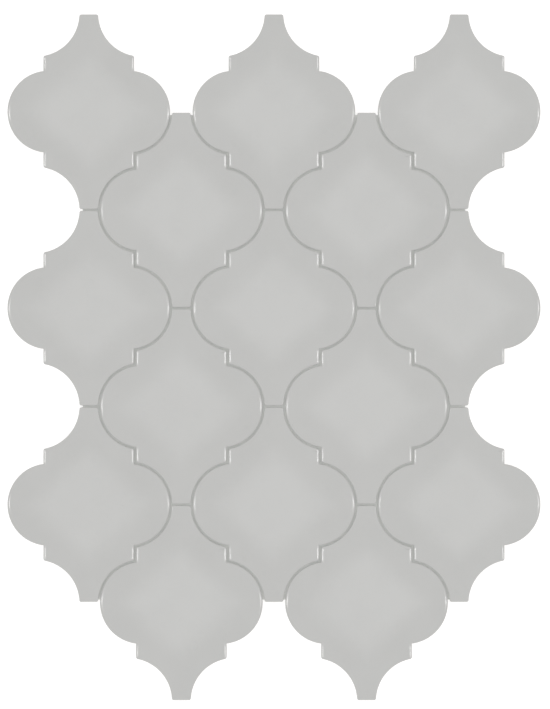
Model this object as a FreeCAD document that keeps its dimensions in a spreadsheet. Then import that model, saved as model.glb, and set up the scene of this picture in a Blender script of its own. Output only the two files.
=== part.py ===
import FreeCAD, Part
import math
import os

import Sketcher
from FreeCAD import Vector

# Arabesque mosaic sheet, lying face up.
# Glazed ceramic tiles of one lantern outline stand in staggered columns, a joint's width apart,
# and a glass-fibre mesh bonded under them holds them together.
# The origin is on the floor under the middle of the sheet: X across it, Y up it, Z out of the glaze.

# An odd number of columns, so that the sheet is the same left and right of its middle.
COLUMNS = 5
ROWS = 3

# Driving sizes in millimetres: alias, value, meaning.
DRIVING_SIZES = [
    ("tile_width", "76.2", "across the two side lobes"),
    ("tile_height", "91.2", "from tip to tip"),
    ("tip_width", "8.7", "neck of a tip at its flat end"),
    ("lobe_radius", "19.2", "round of a side lobe"),
    ("joint", "1.0", "open joint between tiles"),
    ("tile_thickness", "7.0", "from back to glazed face"),
    ("corner_cut", "0.8", "taken off an upright corner"),
    ("groove_width", "3.0", "keying groove in the back"),
    ("groove_length", "50.0", "keying groove in the back"),
    ("groove_depth", "0.6", "keying groove in the back"),
    ("groove_pitch", "7.0", "from groove to groove"),
    ("groove_count", "5", "keying grooves in one back"),
    ("mesh_thickness", "0.5", "glass-fibre mesh with its adhesive"),
    ("mesh_inset", "1.5", "cut edge of the mesh, in from the edge of the tiles"),
    ("mesh_knee_turn", "40", "degrees round a hollow side, from a tip to the knee of the cut"),
]

# Sizes that follow from them. A tile's neighbour stands one column_pitch across and one
# half_row_pitch up or down, and the joint between the two keeps its width all along.
DERIVED_SIZES = [
    ("column_pitch", "=tile_width / 2 + joint + tip_width / 2", "column to column"),
    ("half_row_pitch", "=(tile_height + joint) / 2", "half of tile to tile in a column"),
    ("lobe_centre", "=tile_width / 2 - lobe_radius", "lobe, from the middle of the tile"),
    ("waist_centre", "=column_pitch - lobe_centre", "hollow side, centred on the neighbour's lobe"),
    ("waist_radius", "=lobe_radius + joint", "hollow side round the neighbour's lobe"),
    ("shoulder", "=(column_pitch - joint) / 2", "upright step, from the middle of the tile"),
    ("groove_span", "=groove_pitch * (groove_count - 1)", "first groove to last"),
    ("mesh_waist", "=waist_radius + mesh_inset", "cut edge round a hollow side"),
    ("mesh_knee_x", "=waist_centre - mesh_waist * cos(mesh_knee_turn * 1 deg)", "knee, across its tile"),
    ("mesh_knee_y", "=half_row_pitch - mesh_waist * sin(mesh_knee_turn * 1 deg)", "knee, up its tile"),
    ("mesh_side", "=tile_width / 2 - mesh_inset", "cut edge behind a lobe"),
    ("mesh_tip", "=tip_width / 2 - mesh_inset", "cut edge behind the side of a tip"),
    ("mesh_bay", "=tip_width / 2 + joint + mesh_inset", "cut edge behind the lobes beside a tip"),
    ("mesh_end", "=half_row_pitch - mesh_inset", "cut edge behind the end of a tip"),
]

# A sketch's own origin point and horizontal axis, and the points of one of its edges.
ORIGIN_POINT = (-1, 1)
HORIZONTAL_AXIS = -1
START, END, CENTRE = 1, 2, 3

# Two points nearer than this are the same corner.
SAME_PLACE = 1e-4


def make_size_sheet(doc):
    """The spreadsheet that every size of the model is bound to."""
    sheet = doc.addObject("Spreadsheet::Sheet", "sizes")
    for row, (alias, content, meaning) in enumerate(DRIVING_SIZES + DERIVED_SIZES, start=1):
        sheet.set(f"A{row}", meaning)
        sheet.set(f"B{row}", content)
        sheet.setAlias(f"B{row}", alias)
    doc.recompute()
    return sheet


def make_body(doc, label):
    """An empty body that will be one piece of the sheet."""
    body = doc.addObject("PartDesign::Body", label)
    body.Label = label
    return body


def make_back_sketch(body, name):
    """A sketch on the body's own XY plane, which is the back of the piece."""
    sketch = body.newObject("Sketcher::SketchObject", f"{body.Label}_{name}")
    planes = body.Origin.OriginFeatures
    sketch.AttachmentSupport = (next(plane for plane in planes if plane.Role == "XY_Plane"), [""])
    sketch.MapMode = "FlatFace"
    return sketch


def bind(sketch, name, kind, references, expression):
    """Adds a named dimension to a sketch and ties it to the size sheet."""
    value = float(sketch.evalExpression(expression))
    index = sketch.addConstraint(Sketcher.Constraint(kind, *references, value))
    sketch.renameConstraint(index, name)
    sketch.setExpression(f"Constraints.{name}", expression)


def set_x(sketch, name, edge, point, expression):
    """Fixes how far a point of an edge stands across from the origin."""
    bind(sketch, name, "DistanceX", (*ORIGIN_POINT, edge, point), expression)


def set_y(sketch, name, edge, point, expression):
    """Fixes how far a point of an edge stands up from the origin."""
    bind(sketch, name, "DistanceY", (*ORIGIN_POINT, edge, point), expression)


def meet(sketch, edge, point, other, other_point):
    """Joins a point of one edge to a point of another."""
    sketch.addConstraint(Sketcher.Constraint("Coincident", edge, point, other, other_point))


def add_line(sketch, start, end):
    """A straight edge from one point to another."""
    return sketch.addGeometry(Part.LineSegment(start, end))


def add_arc(sketch, centre, radius, start, end):
    """A counter-clockwise arc from one point to another."""
    circle = Part.Circle(centre, Vector(0, 0, 1), radius)
    angles = [math.atan2(point.y - centre.y, point.x - centre.x) for point in (start, end)]
    return sketch.addGeometry(Part.ArcOfCircle(circle, *angles))


def add_polygon(sketch, points):
    """A closed loop of straight edges, each starting at one of the points."""
    lines = [add_line(sketch, start, end) for start, end in zip(points, points[1:] + points[:1])]
    for line, following in zip(lines, lines[1:] + lines[:1]):
        meet(sketch, line, END, following, START)
    return lines


def outline_corners(sheet):
    """The corners of a tile's right upper quarter: foot and head of its step, and end of its tip."""
    lobe_offset = sheet.shoulder - sheet.lobe_centre
    waist_offset = sheet.waist_centre - sheet.shoulder
    lobe_rise = math.sqrt(sheet.lobe_radius**2 - lobe_offset**2)
    waist_drop = math.sqrt(sheet.waist_radius**2 - waist_offset**2)
    tip_reach = math.sqrt(sheet.waist_radius**2 - (sheet.joint / 2) ** 2)
    return (
        Vector(sheet.shoulder, lobe_rise),
        Vector(sheet.shoulder, sheet.half_row_pitch - waist_drop),
        Vector(sheet.waist_centre - tip_reach, sheet.tile_height / 2),
    )


def draw_lobe(sketch, sheet, name, across):
    """The round side of a tile, on the right where across is 1 and on the left where it is -1."""
    step_foot = outline_corners(sheet)[0]
    ends = [Vector(across * step_foot.x, up * across * step_foot.y) for up in (-1, 1)]
    lobe = add_arc(sketch, Vector(across * sheet.lobe_centre, 0), sheet.lobe_radius, *ends)
    sketch.addConstraint(Sketcher.Constraint("PointOnObject", lobe, CENTRE, HORIZONTAL_AXIS))
    bind(sketch, f"{name}_lobe_radius", "Radius", (lobe,), "sizes.lobe_radius")
    set_x(sketch, f"{name}_lobe_x", lobe, CENTRE, f"{across} * sizes.lobe_centre")
    return lobe


def draw_tip(sketch, sheet, name, up):
    """The flat end of a tip, drawn left to right, at the top where up is 1 and below where it is -1."""
    tip_corner = outline_corners(sheet)[2]
    ends = [Vector(across * tip_corner.x, up * tip_corner.y) for across in (-1, 1)]
    tip = add_line(sketch, *ends)
    sketch.addConstraint(Sketcher.Constraint("Horizontal", tip))
    set_y(sketch, f"{name}_tip_y", tip, START, f"{up} * sizes.tile_height / 2")
    return tip


def draw_quarter(sketch, sheet, name, across, up, lobe, tip):
    """The upright step and the hollow side that lead from a lobe to a tip."""
    foot, head, tip_corner = (Vector(across * at.x, up * at.y) for at in outline_corners(sheet))
    step = add_line(sketch, foot, head)
    sketch.addConstraint(Sketcher.Constraint("Vertical", step))
    set_x(sketch, f"{name}_step_x", step, START, f"{across} * sizes.shoulder")

    # Going round counter-clockwise, two quarters lead from their lobe to their tip, and two lead back.
    outward = across == up
    waist_centre = Vector(across * sheet.waist_centre, up * sheet.half_row_pitch)
    waist_ends = (tip_corner, head) if outward else (head, tip_corner)
    waist = add_arc(sketch, waist_centre, sheet.waist_radius, *waist_ends)
    bind(sketch, f"{name}_waist_radius", "Radius", (waist,), "sizes.waist_radius")
    set_x(sketch, f"{name}_waist_x", waist, CENTRE, f"{across} * sizes.waist_centre")
    set_y(sketch, f"{name}_waist_y", waist, CENTRE, f"{up} * sizes.half_row_pitch")

    meet(sketch, lobe, END if outward else START, step, START)
    meet(sketch, step, END, waist, END if outward else START)
    meet(sketch, waist, START if outward else END, tip, END if across > 0 else START)


def draw_outline(sketch, sheet):
    """The lantern outline: a lobe on each side, a tip at each end, and the four quarters between them."""
    lobes = {across: draw_lobe(sketch, sheet, name, across) for name, across in (("right", 1), ("left", -1))}
    tips = {up: draw_tip(sketch, sheet, name, up) for name, up in (("upper", 1), ("lower", -1))}
    for across, lobe in lobes.items():
        for up, tip in tips.items():
            name = f"{'right' if across > 0 else 'left'}_{'upper' if up > 0 else 'lower'}"
            draw_quarter(sketch, sheet, name, across, up, lobe, tip)


def draw_groove(sketch, sheet):
    """The first keying groove: a slot across the back, centred left to right."""
    right = sheet.groove_length / 2
    low = -(sheet.groove_span + sheet.groove_width) / 2
    high = low + sheet.groove_width
    corners = [Vector(-right, low), Vector(right, low), Vector(right, high), Vector(-right, high)]
    lines = add_polygon(sketch, corners)
    for line, kind in zip(lines, ("Horizontal", "Vertical") * 2):
        sketch.addConstraint(Sketcher.Constraint(kind, line))
    long_side, short_side = lines[:2]
    bind(sketch, "length", "DistanceX", (long_side, START, long_side, END), "sizes.groove_length")
    bind(sketch, "width", "DistanceY", (short_side, START, short_side, END), "sizes.groove_width")
    set_x(sketch, "left_end", long_side, START, "-sizes.groove_length / 2")
    set_y(sketch, "low_side", long_side, START, "-(sizes.groove_span + sizes.groove_width) / 2")


def upright_outer_corners(shape, sheet):
    """The upright edges where the outline turns outwards: at the tips and at the heads of the steps."""
    _, step_head, tip_corner = outline_corners(sheet)
    found = []
    for number, edge in enumerate(shape.Edges, start=1):
        low, high = (vertex.Point for vertex in edge.Vertexes)
        upright = math.hypot(high.x - low.x, high.y - low.y) < SAME_PLACE
        in_first_quarter = Vector(abs(low.x), abs(low.y))
        distance = min(in_first_quarter.distanceToPoint(corner) for corner in (step_head, tip_corner))
        if upright and distance < SAME_PLACE:
            found.append(f"Edge{number}")
    return found


def cut_grooves(doc, body, sheet):
    """Cuts the row of keying grooves into a tile's back and returns the feature."""
    outline = make_back_sketch(body, "groove_outline")
    draw_groove(outline, sheet)
    groove = body.newObject("PartDesign::Pocket", f"{body.Label}_groove")
    groove.Profile = outline
    groove.Reversed = True
    groove.setExpression("Length", "sizes.groove_depth")
    grooves = body.newObject("PartDesign::LinearPattern", f"{body.Label}_grooves")
    grooves.Originals = [groove]
    grooves.Direction = (outline, ["V_Axis"])
    grooves.setExpression("Length", "sizes.groove_span")
    grooves.setExpression("Occurrences", "sizes.groove_count")
    body.Tip = grooves
    doc.recompute()
    return grooves


def cut_corners(doc, body, base, sheet):
    """Takes the sharp edge off the upright corners of a tile that stand outwards."""
    corners = body.newObject("PartDesign::Chamfer", f"{body.Label}_corners")
    corners.Base = (base, upright_outer_corners(base.Shape, sheet))
    corners.setExpression("Size", "sizes.corner_cut")
    body.Tip = corners
    doc.recompute()


def make_tile(doc, sheet, label, across, up):
    """One tile: the outline raised, its back grooved for the adhesive and its corners cut.

    across counts columns and up counts half rows, both from the middle of the sheet.
    """
    body = make_body(doc, label)
    body.setExpression("Placement.Base.x", f"{across} * sizes.column_pitch")
    body.setExpression("Placement.Base.y", f"{up} * sizes.half_row_pitch")
    body.setExpression("Placement.Base.z", "sizes.mesh_thickness")

    outline = make_back_sketch(body, "outline")
    draw_outline(outline, sheet)
    slab = body.newObject("PartDesign::Pad", f"{label}_slab")
    slab.Profile = outline
    slab.setExpression("Length", "sizes.tile_thickness")
    doc.recompute()

    grooves = cut_grooves(doc, body, sheet)
    if grooves.Shape.Volume >= slab.Shape.Volume:
        raise RuntimeError(f"{label}: the grooves cut nothing")
    cut_corners(doc, body, grooves, sheet)
    return body


def tile_place(column, row):
    """A tile's place in columns across and half rows up; every second column hangs half a row lower."""
    return column - COLUMNS // 2, ROWS - 0.5 - column % 2 - 2 * row


def make_tiles(doc, sheet):
    """Every tile of the sheet, column by column from the left, each column from the top."""
    tiles = []
    for column in range(COLUMNS):
        for row in range(ROWS):
            label = f"tile_{chr(ord('a') + column)}{row + 1}"
            tiles.append(make_tile(doc, sheet, label, *tile_place(column, row)))
    return tiles


def mesh_end_cuts(row, up):
    """The cuts along the top of the mesh, left to right, where up is 1, or along its foot where it is -1.

    A cut is a column, a row, and how many of which size it lies across and up from that tile's middle.
    A tile that stands out at this end is cut round in three, and one between two lobes straight across.
    """
    cuts = []
    for column in range(COLUMNS):
        stands_out = (column % 2 == 0) == (up > 0)
        if stands_out:
            cuts.append((column, row, -1, "mesh_knee_x", up, "mesh_knee_y"))
            cuts.append((column, row, 0, "mesh_knee_x", up, "mesh_end"))
            cuts.append((column, row, 1, "mesh_knee_x", up, "mesh_knee_y"))
        else:
            left = "mesh_tip" if column == 0 else "mesh_bay"
            right = "mesh_tip" if column == COLUMNS - 1 else "mesh_bay"
            cuts.append((column, row, -1, left, up, "mesh_end"))
            cuts.append((column, row, 1, right, up, "mesh_end"))
    return cuts


def mesh_side_cuts(column, across):
    """The cuts down the right of the mesh, where across is 1, or down its left where it is -1."""
    cuts = []
    for row in range(ROWS):
        if row > 0:
            cuts.append((column, row, across, "mesh_tip", 1, "half_row_pitch"))
            cuts.append((column, row, across, "mesh_knee_x", 1, "mesh_knee_y"))
        cuts.append((column, row, across, "mesh_side", 0, "mesh_knee_y"))
        cuts.append((column, row, across, "mesh_knee_x", -1, "mesh_knee_y"))
    return cuts


def mesh_cuts():
    """Every cut round the mesh, clockwise from the top left."""
    top, foot = mesh_end_cuts(0, 1), mesh_end_cuts(ROWS - 1, -1)
    right, left = mesh_side_cuts(COLUMNS - 1, 1), mesh_side_cuts(0, -1)
    return top + right + foot[::-1] + left[::-1]


def make_mesh_backing(doc, sheet):
    """The glass-fibre mesh, as the thin plate that its threads and glue fill, cut back behind the tiles."""
    body = make_body(doc, "mesh_backing")
    outline = make_back_sketch(body, "outline")
    places = []
    for column, row, times_x, size_x, times_y, size_y in mesh_cuts():
        across, up = tile_place(column, row)
        x = f"{across} * sizes.column_pitch + {times_x} * sizes.{size_x}"
        y = f"{up} * sizes.half_row_pitch + {times_y} * sizes.{size_y}"
        places.append((x, y))
    points = [Vector(*(float(sheet.evalExpression(axis)) for axis in place)) for place in places]
    lines = add_polygon(outline, points)
    for number, (line, (x, y)) in enumerate(zip(lines, places), start=1):
        set_x(outline, f"corner_{number}_x", line, START, x)
        set_y(outline, f"corner_{number}_y", line, START, y)
    plate = body.newObject("PartDesign::Pad", "mesh_plate")
    plate.Profile = outline
    plate.setExpression("Length", "sizes.mesh_thickness")
    doc.recompute()
    return body


def check(doc, pieces):
    """Stops the build if any feature failed or a piece isn't one sound solid."""
    for item in doc.Objects:
        if {"Invalid", "Error"} & set(item.State):
            raise RuntimeError(f"{item.Label} failed: {item.State}")
    for piece in pieces:
        shape = piece.Shape
        if shape.isNull() or not shape.isValid() or len(shape.Solids) != 1:
            raise RuntimeError(f"{piece.Label} isn't one sound solid")


def main():
    doc = FreeCAD.newDocument("mosaic_sheet")
    sheet = make_size_sheet(doc)
    pieces = make_tiles(doc, sheet) + [make_mesh_backing(doc, sheet)]
    doc.recompute()
    check(doc, pieces)
    os.makedirs("parts", exist_ok=True)
    for piece in pieces:
        piece.Shape.exportStep(f"parts/{piece.Label}.step")
        print(f"{piece.Label}: {piece.Shape.Volume:.1f} mm3, {len(piece.Shape.Faces)} faces")


main()
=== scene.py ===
import logging
import math
from abc import ABC, abstractmethod
from collections.abc import Callable, Iterator
from contextlib import contextmanager
from dataclasses import dataclass
from enum import Enum

import bmesh
import bpy
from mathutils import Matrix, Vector
from mathutils.bvhtree import BVHTree


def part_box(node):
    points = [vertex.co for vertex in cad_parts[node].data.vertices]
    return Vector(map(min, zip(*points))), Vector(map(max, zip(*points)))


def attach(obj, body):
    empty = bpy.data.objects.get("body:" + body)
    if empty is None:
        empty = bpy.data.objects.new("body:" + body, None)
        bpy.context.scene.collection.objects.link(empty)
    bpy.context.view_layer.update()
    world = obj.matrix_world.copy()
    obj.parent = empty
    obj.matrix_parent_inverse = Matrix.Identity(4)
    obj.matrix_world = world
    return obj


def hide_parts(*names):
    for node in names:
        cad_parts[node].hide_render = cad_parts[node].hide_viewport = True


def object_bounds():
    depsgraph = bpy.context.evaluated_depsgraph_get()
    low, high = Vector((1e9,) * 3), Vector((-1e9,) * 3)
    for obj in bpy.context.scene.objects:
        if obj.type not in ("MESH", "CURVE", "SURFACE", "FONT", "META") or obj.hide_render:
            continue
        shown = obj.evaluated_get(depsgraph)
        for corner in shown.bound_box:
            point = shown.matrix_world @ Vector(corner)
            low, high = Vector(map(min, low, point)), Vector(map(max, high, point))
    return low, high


# Dresses a mesh-backed sheet of lantern-shaped glazed tiles that lies face up on a pale floor.
# Lengths are in metres: X across the sheet, Y up it, Z out of the glaze.

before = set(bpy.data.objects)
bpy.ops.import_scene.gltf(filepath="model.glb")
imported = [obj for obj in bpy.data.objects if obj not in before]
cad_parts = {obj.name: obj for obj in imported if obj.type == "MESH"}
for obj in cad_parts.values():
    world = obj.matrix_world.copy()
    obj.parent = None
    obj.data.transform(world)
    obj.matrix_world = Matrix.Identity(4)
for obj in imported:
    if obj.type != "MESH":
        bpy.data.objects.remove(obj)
cad_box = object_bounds()

log = logging.getLogger("tile_sheet")

MM = 0.001
BODY = "root"
QUARTER_TURN = math.pi / 2.0
UPWARDS = Vector((0.0, 0.0, 1.0))

# How far off a point may be when it is looked for by its place, and when by its height alone.
PLACE_SLACK = 0.1 * MM
HEIGHT_SLACK = 0.01 * MM
# Points this close become one, along a mirror and all over a piece.
MIRROR_MERGE = 0.01 * MM
MERGE = 0.001 * MM
# A face that looks straight up or down has more than this much of its normal along Z.
LEVEL_NORMAL = 0.9
# Rays that look up for the film start this far below the floor.
RAY_DEPTH = 1.0

Colour = tuple[float, float, float]
Span = tuple[float, float]
Piece = bpy.types.Object
Socket = bpy.types.NodeSocket


class MaterialSlot(Enum):
    """The record's material slots."""

    GLAZED_TILE = "glazed_tile"
    MESH = "mesh"


class Element(Enum):
    """What can be picked in edit mode, with the name that a bmesh keeps it under."""

    VERT = "verts"
    EDGE = "edges"
    FACE = "faces"


class Side(Enum):
    """The two sides of the sheet, as the sign of X."""

    LEFT = -1
    RIGHT = 1


class Axis(Enum):
    """The two directions of the sheet, as their place in a vector."""

    ACROSS = 0
    UP = 1

    @property
    def other(self) -> "Axis":
        """The direction square to this one."""
        return Axis.UP if self is Axis.ACROSS else Axis.ACROSS

    def move(self, length: float, rise: float = 0.0) -> Vector:
        """A move along this direction.

        Args:
            length: How far along.
            rise: How far out of the sheet.

        Returns:
            The move as a vector.
        """
        vector = Vector((0.0, 0.0, rise))
        vector[self.value] = length
        return vector


class Crossing(Enum):
    """How a thread takes its first crossing, as the sign of its rise there."""

    OVER = 1
    UNDER = -1


# Hands: how a piece is started, opened, picked from and finished.


@contextmanager
def editing(piece: Piece) -> Iterator[None]:
    """Opens a piece alone in edit mode, with nothing picked, and closes it again.

    Args:
        piece: The mesh object to work on.

    Yields:
        Nothing, while the piece is open.
    """
    choose(piece)
    bpy.ops.object.mode_set(mode="EDIT")
    bpy.ops.mesh.select_all(action="DESELECT")
    try:
        yield
    finally:
        bpy.ops.object.mode_set(mode="OBJECT")


def choose(*pieces: Piece) -> None:
    """Selects these objects and nothing else.

    Args:
        pieces: The objects. The first one becomes active.
    """
    bpy.ops.object.select_all(action="DESELECT")
    for piece in pieces:
        piece.select_set(True)
    bpy.context.view_layer.objects.active = pieces[0]


def pick(piece: Piece, element: Element, test: Callable[..., bool]) -> None:
    """Picks the vertices, edges or faces that pass a test, and nothing else.

    Args:
        piece: The object in edit mode.
        element: What to pick.
        test: Says of one bmesh element whether it is wanted.
    """
    bpy.ops.mesh.select_mode(type=element.name)
    bpy.ops.mesh.select_all(action="DESELECT")
    mesh = bmesh.from_edit_mesh(piece.data)
    for part in getattr(mesh, element.value):
        if test(part):
            part.select_set(True)
    mesh.select_flush_mode()
    bmesh.update_edit_mesh(piece.data)


def new_piece(name: str) -> Piece:
    """Names the object that an operator has just added.

    Args:
        name: The name for the object and its mesh.

    Returns:
        The object.
    """
    piece = bpy.context.view_layer.objects.active
    piece.name = name
    piece.data.name = name
    return piece


def start_piece(name: str, add: Callable[..., object], **settings: object) -> Piece:
    """Starts a piece from a primitive.

    Args:
        name: The name for the object and its mesh.
        add: The operator that adds the primitive.
        settings: The operator's own properties.

    Returns:
        The new object.
    """
    bpy.ops.object.select_all(action="DESELECT")
    add(**settings)
    return new_piece(name)


def apply_modifier(piece: Piece, kind: str, **settings: object) -> None:
    """Adds a modifier to a piece and applies it.

    Args:
        piece: The object to change.
        kind: The modifier's type.
        settings: The modifier's own properties.
    """
    choose(piece)
    modifier = piece.modifiers.new(kind.lower(), kind)
    for name, value in settings.items():
        setattr(modifier, name, value)
    bpy.ops.object.modifier_apply(modifier=modifier.name)


def repeat(piece: Piece, count: int, offset: Vector) -> None:
    """Repeats a piece's mesh in a row.

    Args:
        piece: The object to repeat.
        count: How many there are in the end.
        offset: The move from each to the next.
    """
    apply_modifier(
        piece,
        "ARRAY",
        count=count,
        use_relative_offset=False,
        use_constant_offset=True,
        constant_offset_displace=offset,
    )


def close_and_turn_out(piece: Piece) -> None:
    """Merges doubles all over a piece and turns its faces outwards.

    Args:
        piece: The object to change.
    """
    with editing(piece):
        bpy.ops.mesh.select_all(action="SELECT")
        bpy.ops.mesh.remove_doubles(threshold=MERGE)
        bpy.ops.mesh.normals_make_consistent(inside=False)


def install(piece: Piece, node: str) -> None:
    """Lets a finished piece stand for a CAD node, on the sheet's one body.

    Args:
        piece: The finished object.
        node: The CAD node that it replaces.
    """
    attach(piece, BODY)
    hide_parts(node)
    log.info("%s: %d faces, stands for %s", piece.name, len(piece.data.polygons), node)


def smooth_step(value: float, start: float, end: float) -> float:
    """A soft ramp from 0 at start to 1 at end."""
    share = min(max((value - start) / (end - start), 0.0), 1.0)
    return share * share * (3.0 - 2.0 * share)


# Finishes: shared node groups first, then one class for each finish.


class NodeBench:
    """Places nodes in one tree and wires them."""

    def __init__(self, tree: bpy.types.NodeTree) -> None:
        """Takes the tree to work on."""
        self.tree = tree

    def add(self, kind: str, **inputs: object) -> bpy.types.Node:
        """Adds a node and sets or wires its inputs.

        Args:
            kind: The node's type name.
            inputs: Values or output sockets, by input name, with underscores for spaces.

        Returns:
            The new node.
        """
        node = self.tree.nodes.new(kind)
        for name, value in inputs.items():
            self.feed(node.inputs[name.replace("_", " ")], value)
        return node

    def feed(self, socket: Socket, value: object) -> None:
        """Wires an output socket into an input socket, or sets a plain value on it.

        Args:
            socket: The input socket.
            value: An output socket, a number or a colour.
        """
        if isinstance(value, Socket):
            self.tree.links.new(value, socket)
        elif isinstance(value, tuple) and socket.type == "RGBA":
            socket.default_value = (*value, 1.0)
        else:
            socket.default_value = value

    def calculate(self, operation: str, first: object, second: object) -> Socket:
        """Places a Math node.

        Args:
            operation: The node's operation.
            first: A number or an output socket.
            second: A number or an output socket.

        Returns:
            The result's socket.
        """
        node = self.tree.nodes.new("ShaderNodeMath")
        node.operation = operation
        self.feed(node.inputs[0], first)
        self.feed(node.inputs[1], second)
        return node.outputs["Value"]

    def noise(self, scale: object, detail: float) -> Socket:
        """Places a noise over the object's own space.

        Args:
            scale: Its repeats per metre, as a number or an output socket.
            detail: How many finer layers it has.

        Returns:
            The noise's socket.
        """
        place = self.add("ShaderNodeTexCoord").outputs["Object"]
        node = self.add("ShaderNodeTexNoise", Vector=place, Scale=scale, Detail=detail)
        return node.outputs["Fac"]

    def spread(self, value: object, span: Span) -> Socket:
        """A 0 to 1 value mapped to run over a span."""
        node = self.add("ShaderNodeMapRange", Value=value, To_Min=span[0], To_Max=span[1])
        return node.outputs["Result"]

    def band(self, value: object, span: Span) -> Socket:
        """Places a soft mask that rises from 0 to 1 over a span of a value.

        Args:
            value: The value's socket.
            span: Where the mask starts to rise, and where it is full.

        Returns:
            The mask's socket.
        """
        node = self.add("ShaderNodeMapRange", Value=value, From_Min=span[0], From_Max=span[1])
        node.interpolation_type = "SMOOTHSTEP"
        return node.outputs["Result"]

    def blend(self, share: object, first: object, second: object, mode: str = "MIX") -> Socket:
        """Places a colour mix.

        Args:
            share: How much of the second colour there is, from 0 to 1.
            first: A colour or an output socket.
            second: A colour or an output socket.
            mode: The node's blend type.

        Returns:
            The mixed colour's socket.
        """
        node = self.tree.nodes.new("ShaderNodeMix")
        node.data_type = "RGBA"
        node.blend_type = mode
        colours = [socket for socket in node.inputs if socket.type == "RGBA"]
        self.feed(node.inputs[0], share)
        self.feed(colours[0], first)
        self.feed(colours[1], second)
        return next(socket for socket in node.outputs if socket.type == "RGBA")

    def group(self, make: Callable[[], bpy.types.NodeTree], **inputs: float) -> bpy.types.Node:
        """Places a shared node group, which is made on first use.

        Args:
            make: The function that makes it, named as the group is, after make_.
            inputs: The values of its sockets, by name, with underscores for spaces.

        Returns:
            The group's node.
        """
        made = bpy.data.node_groups.get(make.__name__.removeprefix("make_")) or make()
        node = self.tree.nodes.new("ShaderNodeGroup")
        node.node_tree = made
        for name, value in inputs.items():
            self.feed(node.inputs[name.replace("_", " ")], value)
        return node


def new_group(name: str, inputs: list[str], outputs: list[str]) -> NodeBench:
    """Starts a shader node group with value sockets.

    Args:
        name: The group's name.
        inputs: Names of the input sockets.
        outputs: Names of the output sockets.

    Returns:
        A bench to fill the group with.
    """
    group = bpy.data.node_groups.new(name, "ShaderNodeTree")
    for way, sockets in (("INPUT", inputs), ("OUTPUT", outputs)):
        for socket in sockets:
            group.interface.new_socket(socket, in_out=way, socket_type="NodeSocketFloat")
    return NodeBench(group)


def make_clouding() -> bpy.types.NodeTree:
    """Soft clouds of tone with fine specks in them, as fired and cast surfaces have.

    Returns:
        A group with outputs Clouds and Specks, both from 0 to 1.
    """
    cloud_detail, cloud_band = 4.0, (0.3, 0.7)
    speck_detail, speck_band = 1.0, (0.68, 0.74)
    bench = new_group("clouding", ["Cloud Scale", "Speck Scale"], ["Clouds", "Specks"])
    given = bench.add("NodeGroupInput").outputs
    clouds = bench.noise(given["Cloud Scale"], cloud_detail)
    specks = bench.noise(given["Speck Scale"], speck_detail)
    bench.add(
        "NodeGroupOutput",
        Clouds=bench.band(clouds, cloud_band),
        Specks=bench.band(specks, speck_band),
    )
    return bench.tree


def make_grain() -> bpy.types.NodeTree:
    """Fine unevenness for a Bump node: a coarse swell with finer grain on it.

    Returns:
        A group with the output Height.
    """
    swell_detail, grain_detail = 2.0, 3.0
    bench = new_group("grain", ["Swell Scale", "Grain Scale", "Grain Share"], ["Height"])
    given = bench.add("NodeGroupInput").outputs
    swell = bench.noise(given["Swell Scale"], swell_detail)
    grain = bench.noise(given["Grain Scale"], grain_detail)
    fine = bench.calculate("MULTIPLY", grain, given["Grain Share"])
    bench.add("NodeGroupOutput", Height=bench.calculate("ADD", swell, fine))
    return bench.tree


@dataclass(frozen=True)
class Texture:
    """How fine a finish's tone and relief are, in repeats per metre, and how deep the relief is."""

    clouds: float
    specks: float
    swell: float
    grain: float
    grain_share: float
    strength: float
    depth: float


@dataclass(frozen=True)
class Finish(ABC):
    """A finish with one Principled shader, made once and shared by the pieces that wear it."""

    name: str
    texture: Texture
    roughness: Span

    def material(self) -> bpy.types.Material:
        """The material of this finish, made on first use.

        Returns:
            The material, which has the finish's name.
        """
        made = bpy.data.materials.get(self.name)
        if made is None:
            made = bpy.data.materials.new(self.name)
            made.use_nodes = True
            self.wire(NodeBench(made.node_tree), made.node_tree.nodes["Principled BSDF"])
        return made

    def wire(self, bench: NodeBench, shader: bpy.types.Node) -> None:
        """Wires colour, roughness and relief into the shader.

        Args:
            bench: The material's nodes.
            shader: Its Principled shader.
        """
        fine = self.texture
        tones = bench.group(make_clouding, Cloud_Scale=fine.clouds, Speck_Scale=fine.specks).outputs
        colour = self.colour(bench, tones["Clouds"], tones["Specks"])
        bench.feed(shader.inputs["Base Color"], colour)
        bench.feed(shader.inputs["Roughness"], bench.spread(tones["Clouds"], self.roughness))
        relief = bench.group(
            make_grain,
            Swell_Scale=fine.swell,
            Grain_Scale=fine.grain,
            Grain_Share=fine.grain_share,
        )
        bump = bench.add(
            "ShaderNodeBump",
            Height=relief.outputs["Height"],
            Strength=fine.strength,
            Distance=fine.depth,
        )
        bench.feed(shader.inputs["Normal"], bump.outputs["Normal"])

    @abstractmethod
    def colour(self, bench: NodeBench, clouds: Socket, specks: Socket) -> Socket:
        """The socket of the finish's colour, from its clouds and specks."""


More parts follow.
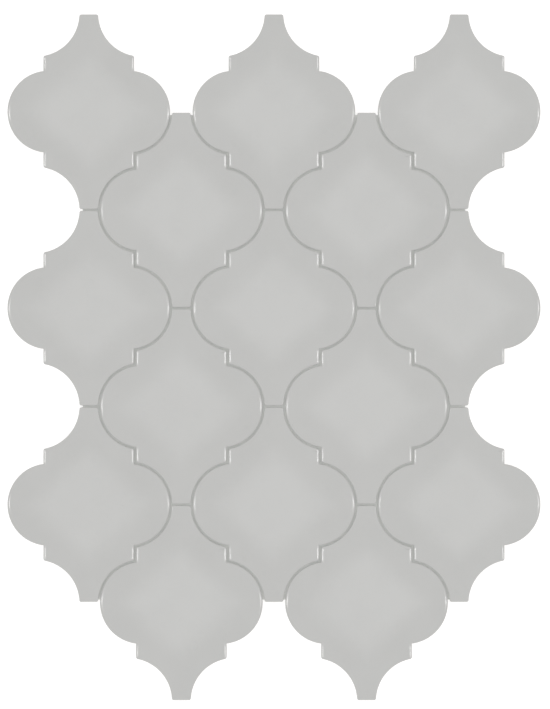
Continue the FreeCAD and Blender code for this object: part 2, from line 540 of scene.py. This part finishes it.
@dataclass(frozen=True)
class GlazeFinish(Finish):
    """Pale grey gloss glaze, a touch lighter in the heart of a tile."""

    name: str = "pale_grey_glaze"
    texture: Texture = Texture(
        clouds=55.0,
        specks=1300.0,
        swell=260.0,
        grain=1400.0,
        grain_share=0.15,
        strength=0.05,
        depth=0.02 * MM,
    )
    roughness: Span = (0.08, 0.12)
    rim: Colour = (0.515, 0.515, 0.504)
    heart: Colour = (0.552, 0.552, 0.541)
    cloud_levels: Span = (0.988, 1.012)
    speck: Colour = (0.47, 0.465, 0.45)
    speck_share: float = 0.18
    attribute: str = "heart"

    def colour(self, bench: NodeBench, clouds: Socket, specks: Socket) -> Socket:
        """Blends rim and heart by the tile's own attribute, then clouds and specks the tone.

        Args:
            bench: The material's nodes.
            clouds: Where the tone is clouded, from 0 to 1.
            specks: Where it is specked, from 0 to 1.

        Returns:
            The colour's socket.
        """
        reading = bench.add("ShaderNodeAttribute")
        reading.attribute_name = self.attribute
        tone = bench.blend(reading.outputs["Fac"], self.rim, self.heart)
        level = bench.spread(clouds, self.cloud_levels)
        grey = bench.add("ShaderNodeCombineColor", Red=level, Green=level, Blue=level)
        clouded = bench.blend(1.0, tone, grey.outputs["Color"], "MULTIPLY")
        share = bench.calculate("MULTIPLY", specks, self.speck_share)
        return bench.blend(share, clouded, self.speck)


@dataclass(frozen=True)
class BisqueFinish(Finish):
    """Unglazed fired body: cream, matt and finely pitted, with the shade in its pits painted as
    dark specks.
    """

    name: str = "cream_bisque"
    texture: Texture = Texture(
        clouds=90.0,
        specks=1100.0,
        swell=350.0,
        grain=2600.0,
        grain_share=0.8,
        strength=0.5,
        depth=0.1 * MM,
    )
    roughness: Span = (0.78, 0.92)
    body: Colour = (0.70, 0.64, 0.55)
    pale: Colour = (0.78, 0.73, 0.65)
    # Painted shade: the dark specks' colour stands in for the shade inside fine pits.
    pit: Colour = (0.45, 0.38, 0.30)
    pit_share: float = 0.5

    def colour(self, bench: NodeBench, clouds: Socket, specks: Socket) -> Socket:
        """Clouds the body between two creams and paints the shade of its pits as dark specks."""
        share = bench.calculate("MULTIPLY", specks, self.pit_share)
        return bench.blend(share, bench.blend(clouds, self.body, self.pale), self.pit)


@dataclass(frozen=True)
class AdhesiveFinish(Finish):
    """Dried sheet adhesive: a dull greyish film with thin and thick patches."""

    name: str = "dried_adhesive"
    texture: Texture = Texture(
        clouds=160.0,
        specks=1500.0,
        swell=500.0,
        grain=2200.0,
        grain_share=0.4,
        strength=0.35,
        depth=0.08 * MM,
    )
    roughness: Span = (0.38, 0.6)
    thin: Colour = (0.57, 0.586, 0.572)
    thick: Colour = (0.622, 0.636, 0.621)

    def colour(self, bench: NodeBench, clouds: Socket, specks: Socket) -> Socket:
        """Clouds the film between thin and thick."""
        return bench.blend(clouds, self.thin, self.thick)


@dataclass(frozen=True)
class GlassThreadFinish(Finish):
    """White glass-fibre yarn, stiffened with size: fine filaments with a slight sheen."""

    name: str = "glass_fibre_yarn"
    texture: Texture = Texture(
        clouds=700.0,
        specks=3000.0,
        swell=1800.0,
        grain=5200.0,
        grain_share=0.7,
        strength=0.5,
        depth=0.05 * MM,
    )
    roughness: Span = (0.35, 0.55)
    shade: Colour = (0.76, 0.77, 0.745)
    yarn: Colour = (0.88, 0.89, 0.87)

    def colour(self, bench: NodeBench, clouds: Socket, specks: Socket) -> Socket:
        """Clouds the yarn between its shade and its own white."""
        return bench.blend(clouds, self.shade, self.yarn)


# Pieces of the sheet.


@dataclass
class LanternTile:
    """One lantern-shaped tile, modelled once round the origin of X and Y, to be copied.

    Its main sizes come from the frame. The rest are sizes of the form and of the glazing.
    """

    width: float
    height: float
    tip_width: float
    joint: float
    back: float
    face: float

    # The outline: arcs of this radius at the lobes, and a first short length of each upright step.
    lobe_radius: float = 19.2 * MM
    arc_step: float = math.radians(3.0)
    step_lead: float = 1.6 * MM

    # The arris: a broad round next to the face that changes to a tight one where it turns down.
    face_round: float = 2.95 * MM
    face_steps: int = 5
    edge_round: float = 0.1 * MM
    edge_steps: int = 3
    round_change: float = math.radians(24.0)

    # The upright corners: rounded, and shrunk to points at this step of the broad round.
    corner_step: int = 3
    corner_segments: int = 4
    corner_merge: float = 0.2 * MM

    # The foot, and the wandering line where the glaze ends above it.
    # Faces that end less than bare_share of the foot's height above the line stay bare.
    # Each wave has its share of glaze_wander, its number in a turn and its phase.
    foot_height: float = 1.6 * MM
    foot_draft: float = 0.25 * MM
    bare_share: float = 0.4
    glaze_wander: float = 0.22 * MM
    glaze_waves: tuple[tuple[float, int, float], ...] = ((0.6, 5, 0.7), (0.4, 13, 2.1))

    # The glaze: keener at the tips, broader at the lobes and slightly crowned.
    tip_keenness: float = 0.84
    tip_zone: Span = (32.0 * MM, 37.0 * MM)
    lobe_ease: float = 0.18
    lobe_zone: Span = (1.5 * MM, 7.0 * MM)
    lobe_fade: Span = (1.3 * MM, 6.0 * MM)
    crown: float = 0.06 * MM
    crown_reach: float = 12.0 * MM
    grid_pitch: float = 2.5 * MM

    # The lighter heart: a soft diamond, full up to a share of its half sizes.
    heart_width: float = 33.6 * MM
    heart_height: float = 31.3 * MM
    heart_squareness: float = 1.1
    heart_fade: Span = (0.53, 1.0)

    # The keying grooves in the back.
    groove_length: float = 50.0 * MM
    groove_width: float = 3.0 * MM
    groove_depth: float = 0.6 * MM
    groove_pitch: float = 7.0 * MM
    groove_count: int = 5
    groove_round: float = 0.25 * MM
    groove_segments: int = 2

    smooth_angle: float = math.radians(38.0)

    @classmethod
    def from_frame(cls) -> "LanternTile":
        """Reads the tile's sizes from three neighbouring CAD nodes.

        Returns:
            A tile of those sizes.
        """
        low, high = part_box("tile_c2")
        above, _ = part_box("tile_c1")
        beside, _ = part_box("tile_d2")
        width, height = high.x - low.x, high.y - low.y
        joint = above.y - high.y
        tip_width = 2.0 * (beside.x - low.x - joint) - width
        return cls(width, height, tip_width, joint, low.z, high.z)

    def __post_init__(self) -> None:
        """Works out the outline's points, all in the right upper quarter, and the heights."""
        half_row = (self.height + self.joint) / 2.0
        pitch = self.width / 2.0 + self.joint + self.tip_width / 2.0
        self.lobe_centre = Vector((self.width / 2.0 - self.lobe_radius, 0.0, 0.0))
        self.waist_centre = Vector((pitch - self.lobe_centre.x, half_row, 0.0))
        self.waist_radius = self.lobe_radius + self.joint
        shoulder = (pitch - self.joint) / 2.0
        lobe_rise = self.half_chord(self.lobe_radius, shoulder - self.lobe_centre.x)
        waist_drop = self.half_chord(self.waist_radius, self.waist_centre.x - shoulder)
        self.step_foot = Vector((shoulder, lobe_rise, 0.0))
        self.step_head = Vector((shoulder, half_row - waist_drop, 0.0))
        tip_reach = self.half_chord(self.waist_radius, self.joint / 2.0)
        self.tip_corner = Vector((self.waist_centre.x - tip_reach, self.height / 2.0, 0.0))
        self.glaze_line = self.back + self.foot_height
        self.broad_drop = self.face_round * (1.0 - math.cos(self.round_change))
        self.side_top = self.face - self.arris_point(QUARTER_TURN)[1]

    @staticmethod
    def half_chord(radius: float, offset: float) -> float:
        """Half the chord of a circle, at an offset from its centre."""
        return math.sqrt(radius**2 - offset**2)

    def arris_point(self, tilt: float) -> tuple[float, float]:
        """Where the rounded arris has a given tilt.

        Args:
            tilt: The slope of the surface, 0 on the face and a right angle on the side.

        Returns:
            How far in from the side, and how far below the face.
        """
        sine, cosine = math.sin(self.round_change), math.cos(self.round_change)
        if tilt > self.round_change:
            inward = self.edge_round * (1.0 - math.sin(tilt))
            return inward, self.broad_drop + self.edge_round * (cosine - math.cos(tilt))
        inward = self.edge_round * (1.0 - sine) + self.face_round * (sine - math.sin(tilt))
        return inward, self.face_round * (1.0 - math.cos(tilt))

    def arris_tilts(self) -> list[float]:
        """The tilts of the rings that round the arris.

        Returns:
            The tilts from the side in to the flat, the tight round's first.
        """
        change, turn = self.round_change, QUARTER_TURN - self.round_change
        tight = [1.0 - step / self.edge_steps for step in range(1, self.edge_steps + 1)]
        broad = [1.0 - step / self.face_steps for step in range(1, self.face_steps + 1)]
        return [change + turn * share for share in tight] + [change * share for share in broad]

    def edge_distance(self, x: float, y: float) -> float:
        """How far a point of the face lies from the tile's outline.

        Args:
            x: Across from the tile's middle.
            y: Up from the tile's middle.

        Returns:
            The distance to the nearest arc, step or tip.
        """
        here = Vector((abs(x), abs(y), 0.0))
        corners = (self.step_foot, self.step_head, self.tip_corner)
        nearest = min((here - corner).length for corner in corners)
        from_lobe, from_waist = here - self.lobe_centre, here - self.waist_centre
        lobe_side = (self.step_foot - self.lobe_centre).x / self.lobe_radius
        if from_lobe.x > lobe_side * from_lobe.length:
            nearest = min(nearest, abs(self.lobe_radius - from_lobe.length))
        if self.step_foot.y < here.y < self.step_head.y:
            nearest = min(nearest, abs(self.step_foot.x - here.x))
        if here.x < self.waist_centre.x and here.y < self.tip_corner.y:
            nearest = min(nearest, abs(from_waist.length - self.waist_radius))
        if here.x < self.tip_corner.x:
            nearest = min(nearest, abs(self.tip_corner.y - here.y))
        return nearest

    def is_corner(self, point: Vector) -> bool:
        """Whether a point is on one of the upright corners that stand outwards.

        Args:
            point: A point of the side or the foot.

        Returns:
            True on a step's head or a tip's corner.
        """
        here = Vector((abs(point.x), abs(point.y), 0.0))
        reach = 2.0 * self.foot_draft + PLACE_SLACK
        return min((here - self.step_head).length, (here - self.tip_corner).length) < reach

    def sweep(self, centre: Vector, start: Vector, end: Vector) -> None:
        """Spins the picked vertex from one point of the outline to the next.

        Args:
            centre: The centre of the arc.
            start: Where the vertex is.
            end: Where the arc ends.
        """
        turn = (start - centre).xy.angle_signed((end - centre).xy)
        steps = max(2, round(abs(turn) / self.arc_step))
        place = centre + self.glaze_line * UPWARDS
        bpy.ops.mesh.spin(steps=steps, angle=turn, center=place, axis=UPWARDS)

    def draw_outline(self) -> Piece:
        """Draws the outline at the glaze line: a quarter, then its mirror images.

        Returns:
            The tile, as a closed line.
        """
        piece = start_piece("lantern_tile", bpy.ops.mesh.primitive_plane_add, size=self.joint)
        start = Vector((self.width / 2.0, 0.0, self.glaze_line))
        rise = self.step_head - self.step_foot
        lead = self.step_lead * rise.normalized()
        with editing(piece):
            bpy.ops.mesh.select_all(action="SELECT")
            bpy.ops.mesh.merge(type="CENTER")
            bpy.ops.transform.translate(value=start)
            self.sweep(self.lobe_centre, start, self.step_foot)
            for part in (lead, rise - lead):
                bpy.ops.mesh.extrude_vertices_move(TRANSFORM_OT_translate={"value": part})
            self.sweep(self.waist_centre, self.step_head, self.tip_corner)
            across = {"value": Axis.ACROSS.move(-self.tip_corner.x)}
            bpy.ops.mesh.extrude_vertices_move(TRANSFORM_OT_translate=across)
        both_ways = (True, True, False)
        apply_modifier(piece, "MIRROR", use_axis=both_ways, merge_threshold=MIRROR_MERGE)
        return piece

    def raise_slab(self, piece: Piece) -> None:
        """Fills the outline, raises its sides and drops a slightly drafted foot to the back.

        Args:
            piece: The tile, as a closed line.
        """
        with editing(piece):
            bpy.ops.mesh.select_all(action="SELECT")
            bpy.ops.mesh.edge_face_add()
            lift = {"value": (self.side_top - self.glaze_line) * UPWARDS}
            bpy.ops.mesh.extrude_region_move(TRANSFORM_OT_translate=lift)
            bpy.ops.mesh.select_all(action="SELECT")
            bpy.ops.mesh.normals_make_consistent(inside=False)
            pick(piece, Element.FACE, lambda face: face.normal.z < -LEVEL_NORMAL)
            bpy.ops.mesh.inset(thickness=self.foot_draft)
            bpy.ops.transform.translate(value=(self.back - self.glaze_line) * UPWARDS)

    def round_corners(self, piece: Piece) -> None:
        """Rounds the upright corners that stand outwards, on the side and on the foot.

        Args:
            piece: The tile, as a slab.
        """

        def upright_corner(edge: bmesh.types.BMEdge) -> bool:
            """Whether an edge climbs one of those corners."""
            first, second = (end.co for end in edge.verts)
            climbs = abs(first.z - second.z) > self.foot_height / 2.0
            return climbs and self.is_corner(first) and self.is_corner(second)

        radius, _ = self.arris_point(self.round_change * (1.0 - self.corner_step / self.face_steps))
        with editing(piece):
            pick(piece, Element.EDGE, upright_corner)
            bpy.ops.mesh.bevel(
                offset=radius,
                segments=self.corner_segments,
                affect="EDGES",
                clamp_overlap=False,
            )

    def round_arris(self, piece: Piece) -> None:
        """Rounds the edge of the face in insets that climb from the side to the flat.

        The rounded corners shrink to points on the way, and are merged there.

        Args:
            piece: The tile, with its upright corners rounded.
        """
        before_in, before_drop = self.arris_point(QUARTER_TURN)
        with editing(piece):
            pick(piece, Element.FACE, lambda face: face.normal.z > LEVEL_NORMAL)
            for ring, tilt in enumerate(self.arris_tilts(), start=1):
                inward, drop = self.arris_point(tilt)
                bpy.ops.mesh.inset(thickness=inward - before_in, depth=before_drop - drop)
                before_in, before_drop = inward, drop
                if ring == self.edge_steps + self.corner_step:
                    bpy.ops.mesh.remove_doubles(threshold=self.corner_merge)

    def divide_face(self, piece: Piece) -> None:
        """Cuts the flat of the face into a grid, so that it can be crowned and carry its tone.

        Args:
            piece: The tile, with its arris rounded.
        """
        level = self.face - HEIGHT_SLACK
        with editing(piece):
            for axis, reach in ((Axis.ACROSS, self.width / 2.0), (Axis.UP, self.height / 2.0)):
                count = int(reach / self.grid_pitch)
                for index in range(-count, count + 1):
                    place = axis.move(index * self.grid_pitch)
                    pick(piece, Element.FACE, lambda face: face.calc_center_bounds().z > level)
                    bpy.ops.mesh.bisect(plane_co=place, plane_no=axis.move(1.0))

    def cut_grooves(self, piece: Piece) -> None:
        """Cuts the keying grooves into the back.

        Args:
            piece: The tile, as a closed solid.
        """
        size = (self.groove_length, self.groove_width, 2.0 * self.groove_depth)
        span = self.groove_pitch * (self.groove_count - 1)
        cutter = start_piece("groove_cutter", bpy.ops.mesh.primitive_cube_add, size=1.0)
        with editing(cutter):
            bpy.ops.mesh.select_all(action="SELECT")
            bpy.ops.transform.resize(value=size)
            bpy.ops.transform.translate(value=Axis.UP.move(-span / 2.0, self.back))
            bpy.ops.mesh.bevel(
                offset=self.groove_round, segments=self.groove_segments, affect="EDGES"
            )
        repeat(cutter, self.groove_count, Axis.UP.move(self.groove_pitch))
        apply_modifier(piece, "BOOLEAN", operation="DIFFERENCE", solver="EXACT", object=cutter)
        bpy.data.objects.remove(cutter)

    def ease_lobe(self, point: Vector) -> None:
        """Broadens the arris at the far point of a lobe, less along the edge and into the face.

        Args:
            point: A point of the arris or the face, which is moved.
        """
        if abs(point.x) < self.lobe_centre.x:
            return
        centre = Vector((math.copysign(self.lobe_centre.x, point.x), 0.0))
        outward = point.xy - centre
        inward = self.lobe_radius - outward.length
        along = 1.0 - smooth_step(abs(point.y), *self.lobe_zone)
        growth = self.lobe_ease * along * (1.0 - smooth_step(inward, *self.lobe_fade))
        point.xy = centre + outward * (1.0 - growth * inward / outward.length)
        point.z -= growth * (self.face - point.z)

    def crown_face(self, point: Vector) -> None:
        """Crowns the face, and flattens the broad round of the arris at the tips.

        Args:
            point: A point of the arris or the face, which is moved.
        """
        keenness = self.tip_keenness * smooth_step(abs(point.y), *self.tip_zone)
        lift = keenness * min(self.face - point.z, self.broad_drop)
        inward = min(self.edge_distance(point.x, point.y) / self.crown_reach, 1.0)
        point.z += lift - self.crown * (1.0 - inward) ** 2

    def wander(self, point: Vector) -> float:
        """How far the glaze line is off its level.

        Args:
            point: A point of the line.

        Returns:
            The difference in height, which goes by the direction from the tile's middle.
        """
        turn = math.atan2(point.y, point.x)
        waves = (share * math.sin(count * turn + phase) for share, count, phase in self.glaze_waves)
        return self.glaze_wander * sum(waves)

    def shape_glaze(self, piece: Piece) -> None:
        """Shapes the arris at lobes and tips, crowns the face and lets the glaze line wander.

        Args:
            piece: The tile, as a closed solid.
        """
        for vertex in piece.data.vertices:
            point = vertex.co
            if point.z > self.side_top - PLACE_SLACK:
                self.ease_lobe(point)
                self.crown_face(point)
            elif abs(point.z - self.glaze_line) < PLACE_SLACK:
                point.z += self.wander(point)

    def store_heart(self, piece: Piece) -> None:
        """Keeps on each point how far it is towards the lighter heart of the tile.

        Args:
            piece: The tile, in its final shape.
        """
        power = self.heart_squareness
        values = []
        for vertex in piece.data.vertices:
            across, up = abs(vertex.co.x) / self.heart_width, abs(vertex.co.y) / self.heart_height
            outward = (across**power + up**power) ** (1.0 / power)
            values.append(1.0 - smooth_step(outward, *self.heart_fade))
        heart = piece.data.attributes.new(GlazeFinish.attribute, "FLOAT", "POINT")
        heart.data.foreach_set("value", values)

    def dress(self, piece: Piece) -> None:
        """Glazes what lies above the glaze line and leaves the foot and back bare.

        Args:
            piece: The tile, in its final shape.
        """
        finishes = (GlazeFinish(), BisqueFinish())
        glazed, bare = range(len(finishes))
        piece.data.materials.clear()
        for finish in finishes:
            piece.data.materials.append(finish.material())
        limit = self.glaze_line + self.bare_share * self.foot_height
        for face in piece.data.polygons:
            highest = max(piece.data.vertices[index].co.z for index in face.vertices)
            face.material_index = bare if highest < limit else glazed
        choose(piece)
        bpy.ops.object.shade_smooth_by_angle(angle=self.smooth_angle)
        apply_modifier(piece, "WEIGHTED_NORMAL", keep_sharp=True)

    def build(self) -> Piece:
        """Models and dresses the tile round the origin.

        Returns:
            The finished tile, to be copied.
        """
        piece = self.draw_outline()
        self.raise_slab(piece)
        self.round_corners(piece)
        self.round_arris(piece)
        self.divide_face(piece)
        self.cut_grooves(piece)
        close_and_turn_out(piece)
        self.shape_glaze(piece)
        self.store_heart(piece)
        self.dress(piece)
        return piece


@dataclass
class TileField:
    """All the tiles of the sheet, as copies of one."""

    tile: LanternTile
    prefix: str = "tile_"

    def build(self) -> None:
        """Copies the tile to the place of every CAD tile."""
        pattern = self.tile.build()
        for node in sorted(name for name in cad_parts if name.startswith(self.prefix)):
            low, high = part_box(node)
            middle = (low + high) / 2.0
            choose(pattern)
            bpy.ops.object.duplicate()
            piece = new_piece(f"lantern_{node}")
            bpy.ops.transform.translate(value=(middle.x, middle.y, 0.0))
            bpy.ops.object.transform_apply(location=True, rotation=False, scale=False)
            install(piece, node)
        bpy.data.objects.remove(pattern)


@dataclass
class MeshBacking:
    """The backing: a film of dried adhesive under the tiles, with a woven glass scrim below it."""

    node: str = "mesh_backing"
    film_thickness: float = 0.2 * MM
    thread_pitch: float = 5.0 * MM
    thread_width: float = 0.7 * MM
    thread_thickness: float = 0.2 * MM
    thread_sides: int = 6
    weave_height: float = 0.09 * MM
    floor_gap: float = 0.02 * MM
    flat_angle: float = math.radians(0.5)
    smooth_angle: float = math.radians(70.0)

    def __post_init__(self) -> None:
        """Reads the backing's box from the frame and works out how high the weave lies."""
        self.low, self.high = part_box(self.node)
        self.level = self.thread_thickness / 2.0 + self.weave_height + self.floor_gap

    def build_film(self) -> Piece:
        """Thins a copy of the backing's plate to the film, from the tiles' backs down.

        Returns:
            The film.
        """
        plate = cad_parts[self.node]
        choose(plate)
        bpy.ops.object.duplicate()
        film = new_piece("adhesive_film")
        middle = (self.low.z + self.high.z) / 2.0
        thinned = self.high.z - self.low.z - self.film_thickness
        with editing(film):
            bpy.ops.mesh.select_all(action="SELECT")
            bpy.ops.mesh.remove_doubles(threshold=MERGE)
            pick(film, Element.VERT, lambda vertex: vertex.co.z < middle)
            bpy.ops.transform.translate(value=thinned * UPWARDS)
            bpy.ops.mesh.select_all(action="SELECT")
            bpy.ops.mesh.dissolve_limited(angle_limit=self.flat_angle)
        return film

    def weave_thread(self, axis: Axis, reach: float, first: Crossing) -> Piece:
        """Models one thread by extruding its section over and under the crossings.

        Args:
            axis: The way that it runs.
            reach: Half its length, at the least.
            first: How it takes its first crossing.

        Returns:
            The thread, through the middle of the sheet.
        """
        half_pitch = self.thread_pitch / 2.0
        # Every half pitch: level, at a crossing, level, and at the next crossing.
        rises = (0, first.value, 0, -first.value)
        steps = len(rises) * math.ceil(reach / self.thread_pitch)
        heights = [self.weave_height * rises[step % len(rises)] for step in range(steps + 1)]
        thread = start_piece(
            "thread",
            bpy.ops.mesh.primitive_circle_add,
            vertices=self.thread_sides,
            radius=self.thread_width / 2.0,
            rotation=(QUARTER_TURN, 0.0, QUARTER_TURN if axis is Axis.ACROSS else 0.0),
        )
        bpy.ops.object.transform_apply(location=False, rotation=True, scale=False)
        with editing(thread):
            bpy.ops.mesh.select_all(action="SELECT")
            bpy.ops.transform.resize(value=(1.0, 1.0, self.thread_thickness / self.thread_width))
            bpy.ops.transform.translate(value=axis.move(-steps / 2.0 * half_pitch, self.level))
            for before, after in zip(heights, heights[1:]):
                move = {"value": axis.move(half_pitch, after - before)}
                bpy.ops.mesh.extrude_edges_move(TRANSFORM_OT_translate=move)
        return thread

    def lay_threads(self, axis: Axis) -> list[Piece]:
        """Lays all threads of one direction: over-first and under-first ones by turns.

        Args:
            axis: The way that they run.

        Returns:
            Two objects, one for each kind.
        """
        size = self.high - self.low
        count = math.ceil(size[axis.other.value] / self.thread_pitch / 2.0)
        kinds = Crossing if axis is Axis.ACROSS else reversed(Crossing)
        laid = []
        for place, first in enumerate(kinds):
            thread = self.weave_thread(axis, size[axis.value] / 2.0, first)
            start = axis.other.move((place + 0.5 - count) * self.thread_pitch)
            with editing(thread):
                bpy.ops.mesh.select_all(action="SELECT")
                bpy.ops.transform.translate(value=start)
            repeat(thread, count, axis.other.move(2.0 * self.thread_pitch))
            laid.append(thread)
        return laid

    def trim_threads(self, threads: Piece, axis: Axis, cover: BVHTree) -> None:
        """Cuts threads back to the film by whole extruded lengths, and closes their ends.

        Args:
            threads: Threads of one direction.
            axis: The way that they run.
            cover: The film.
        """
        half_length, half_width = self.thread_pitch / 4.0, self.thread_width / 2.0

        def past_film(face: bmesh.types.BMFace) -> bool:
            """Whether the length of thread that a face belongs to reaches beyond the film."""
            centre = face.calc_center_median()
            row = math.floor(centre[axis.other.value] / self.thread_pitch) + 0.5
            for end in (-half_length, half_length):
                for edge in (-half_width, half_width):
                    below = axis.move(centre[axis.value] + end, -RAY_DEPTH)
                    below += axis.other.move(row * self.thread_pitch + edge)
                    if cover.ray_cast(below, UPWARDS)[0] is None:
                        return True
            return False

        with editing(threads):
            pick(threads, Element.FACE, past_film)
            bpy.ops.mesh.delete(type="FACE")
            bpy.ops.mesh.select_all(action="SELECT")
            bpy.ops.mesh.fill_holes(sides=self.thread_sides)
            bpy.ops.mesh.normals_make_consistent(inside=False)

    def build_scrim(self, film: Piece) -> Piece:
        """Weaves the scrim and trims it to the film.

        Args:
            film: The adhesive film that the scrim is trimmed to.

        Returns:
            The scrim as one object.
        """
        cover = BVHTree.FromObject(film, bpy.context.evaluated_depsgraph_get())
        laid = []
        for axis in Axis:
            for threads in self.lay_threads(axis):
                self.trim_threads(threads, axis, cover)
                laid.append(threads)
        choose(*laid)
        bpy.ops.object.join()
        return new_piece("scrim")

    def dress(self, film: Piece, scrim: Piece) -> None:
        """Gives film and scrim their finishes, and smooths the threads.

        Args:
            film: The adhesive film.
            scrim: The woven scrim.
        """
        for piece, finish in ((film, AdhesiveFinish()), (scrim, GlassThreadFinish())):
            piece.data.materials.clear()
            piece.data.materials.append(finish.material())
        choose(scrim)
        bpy.ops.object.shade_smooth_by_angle(angle=self.smooth_angle)

    def build(self) -> None:
        """Makes the film and the scrim and joins them into the one backing."""
        film = self.build_film()
        scrim = self.build_scrim(film)
        self.dress(film, scrim)
        choose(film, scrim)
        bpy.ops.object.join()
        backing = new_piece("scrim_backing")
        install(backing, self.node)


# The studio round the sheet.


@dataclass
class Studio:
    """Pale floor, white surround, soft light from overhead and two strips that edge the glaze."""

    # The picture: its height in pixels, a pixel's size on the sheet and the sheet's place in it.
    image_height: int = 709
    pixel: float = 0.4692 * MM
    sheet_left_of_centre: float = 1.05
    sheet_below_centre: float = 2.8
    lens: float = 1200.0

    floor_size: float = 24.0
    floor_tone: float = 0.85
    floor_roughness: float = 0.9
    floor_specular: float = 0.1
    floor_lift: float = 0.25

    # Overhead light and surround share out the light on a white face that looks up.
    overhead_share: float = 0.62
    overhead_spread: float = math.radians(3.0)
    surround_share: float = 0.38

    # The strips, seen from the middle of the sheet: how far down from straight above they stand,
    # how tall they are that way, and how wide round it.
    strip_distance: float = 15.0
    strip_zenith: float = math.radians(23.5)
    strip_half_height: float = math.radians(10.0)
    strip_half_width: float = math.radians(5.3)
    strip_radiance: float = 8.4

    def seen_directly(self, bench: NodeBench) -> Socket:
        """Masks the rays that look at something, against those that gather its light.

        Args:
            bench: The nodes to place the mask in.

        Returns:
            A socket that is 1 for rays from the camera, off gloss and through glass.
        """
        path = bench.add("ShaderNodeLightPath").outputs
        looking = bench.calculate("MAXIMUM", path["Is Camera Ray"], path["Is Glossy Ray"])
        return bench.calculate("MAXIMUM", looking, path["Is Transmission Ray"])

    def lay_floor(self) -> None:
        """A wide pale floor that is lifted to white where it is seen, and still takes shadow."""
        floor = start_piece("pale_floor", bpy.ops.mesh.primitive_plane_add, size=self.floor_size)
        paint = bpy.data.materials.new("pale_floor")
        paint.use_nodes = True
        bench, nodes = NodeBench(paint.node_tree), paint.node_tree.nodes
        matt = nodes["Principled BSDF"]
        bench.feed(matt.inputs["Base Color"], (self.floor_tone,) * 3)
        bench.feed(matt.inputs["Roughness"], self.floor_roughness)
        bench.feed(matt.inputs["Specular IOR Level"], self.floor_specular)
        lift = bench.calculate("MULTIPLY", self.seen_directly(bench), self.floor_lift)
        glow = bench.add("ShaderNodeEmission", Strength=lift)
        both = bench.add("ShaderNodeAddShader")
        bench.feed(both.inputs[0], matt.outputs["BSDF"])
        bench.feed(both.inputs[1], glow.outputs["Emission"])
        bench.feed(nodes["Material Output"].inputs["Surface"], both.outputs["Shader"])
        floor.data.materials.append(paint)

    def light_surround(self) -> None:
        """A white surround: its share of the light, and plain white where it is seen."""
        world = bpy.data.worlds.new("white_surround")
        world.use_nodes = True
        bpy.context.scene.world = world
        bench = NodeBench(world.node_tree)
        strength = bench.spread(self.seen_directly(bench), (self.surround_share, 1.0))
        backdrop = world.node_tree.nodes["Background"]
        bench.feed(backdrop.inputs["Color"], (1.0, 1.0, 1.0))
        bench.feed(backdrop.inputs["Strength"], strength)

    def hang_overhead(self) -> None:
        """A soft light from straight above, which reaches the foot of the joints."""
        bpy.ops.object.light_add(type="SUN")
        lamp = bpy.context.view_layer.objects.active
        lamp.name = "overhead"
        lamp.data.energy = math.pi * self.overhead_share
        lamp.data.angle = self.overhead_spread
        lamp.visible_glossy = False

    def stand_strip(self, side: Side) -> None:
        """A tall strip light that shows only as the highlight along upright edges.

        Args:
            side: The side of the sheet that it stands on.
        """
        sine, cosine = math.sin(self.strip_zenith), math.cos(self.strip_zenith)
        towards = Vector((side.value * sine, 0.0, cosine))
        width = 2.0 * self.strip_distance * sine * math.tan(self.strip_half_width)
        height = 2.0 * self.strip_distance * math.tan(self.strip_half_height)
        bpy.ops.object.light_add(type="AREA", location=towards * self.strip_distance)
        lamp = bpy.context.view_layer.objects.active
        lamp.name = f"strip_{side.name.lower()}"
        lamp.rotation_euler = (-towards).to_track_quat("-Z", "Y").to_euler()
        lamp.data.shape = "RECTANGLE"
        # The lamp's own X lies along the sheet's Y.
        lamp.data.size, lamp.data.size_y = width, height
        lamp.data.energy = self.strip_radiance * math.pi * width * height
        lamp.visible_diffuse = False
        lamp.visible_camera = False

    def set_camera(self) -> None:
        """A long lens straight above the sheet, framed as the photograph is.

        The sensor's width goes with the picture's longer side, which is its height.
        """
        low, high = cad_box
        bpy.ops.object.camera_add()
        camera = bpy.context.view_layer.objects.active
        camera.name = "camera"
        camera.data.lens = self.lens
        distance = self.image_height * self.pixel * self.lens / camera.data.sensor_width
        middle = (low + high) / 2.0
        camera.location = (
            middle.x + self.sheet_left_of_centre * self.pixel,
            middle.y + self.sheet_below_centre * self.pixel,
            high.z + distance,
        )
        bpy.context.scene.camera = camera

    def build(self) -> None:
        """Sets the floor, the lights and the camera."""
        self.lay_floor()
        self.light_surround()
        self.hang_overhead()
        for side in Side:
            self.stand_strip(side)
        self.set_camera()
        bpy.context.scene.view_settings.view_transform = "Standard"


def main() -> None:
    """Builds the studio and every piece of the sheet, in order."""
    logging.basicConfig(level=logging.INFO, format="%(name)s: %(message)s")
    Studio().build()
    TileField(LanternTile.from_frame()).build()
    MeshBacking().build()


if __name__ == "__main__":
    main()
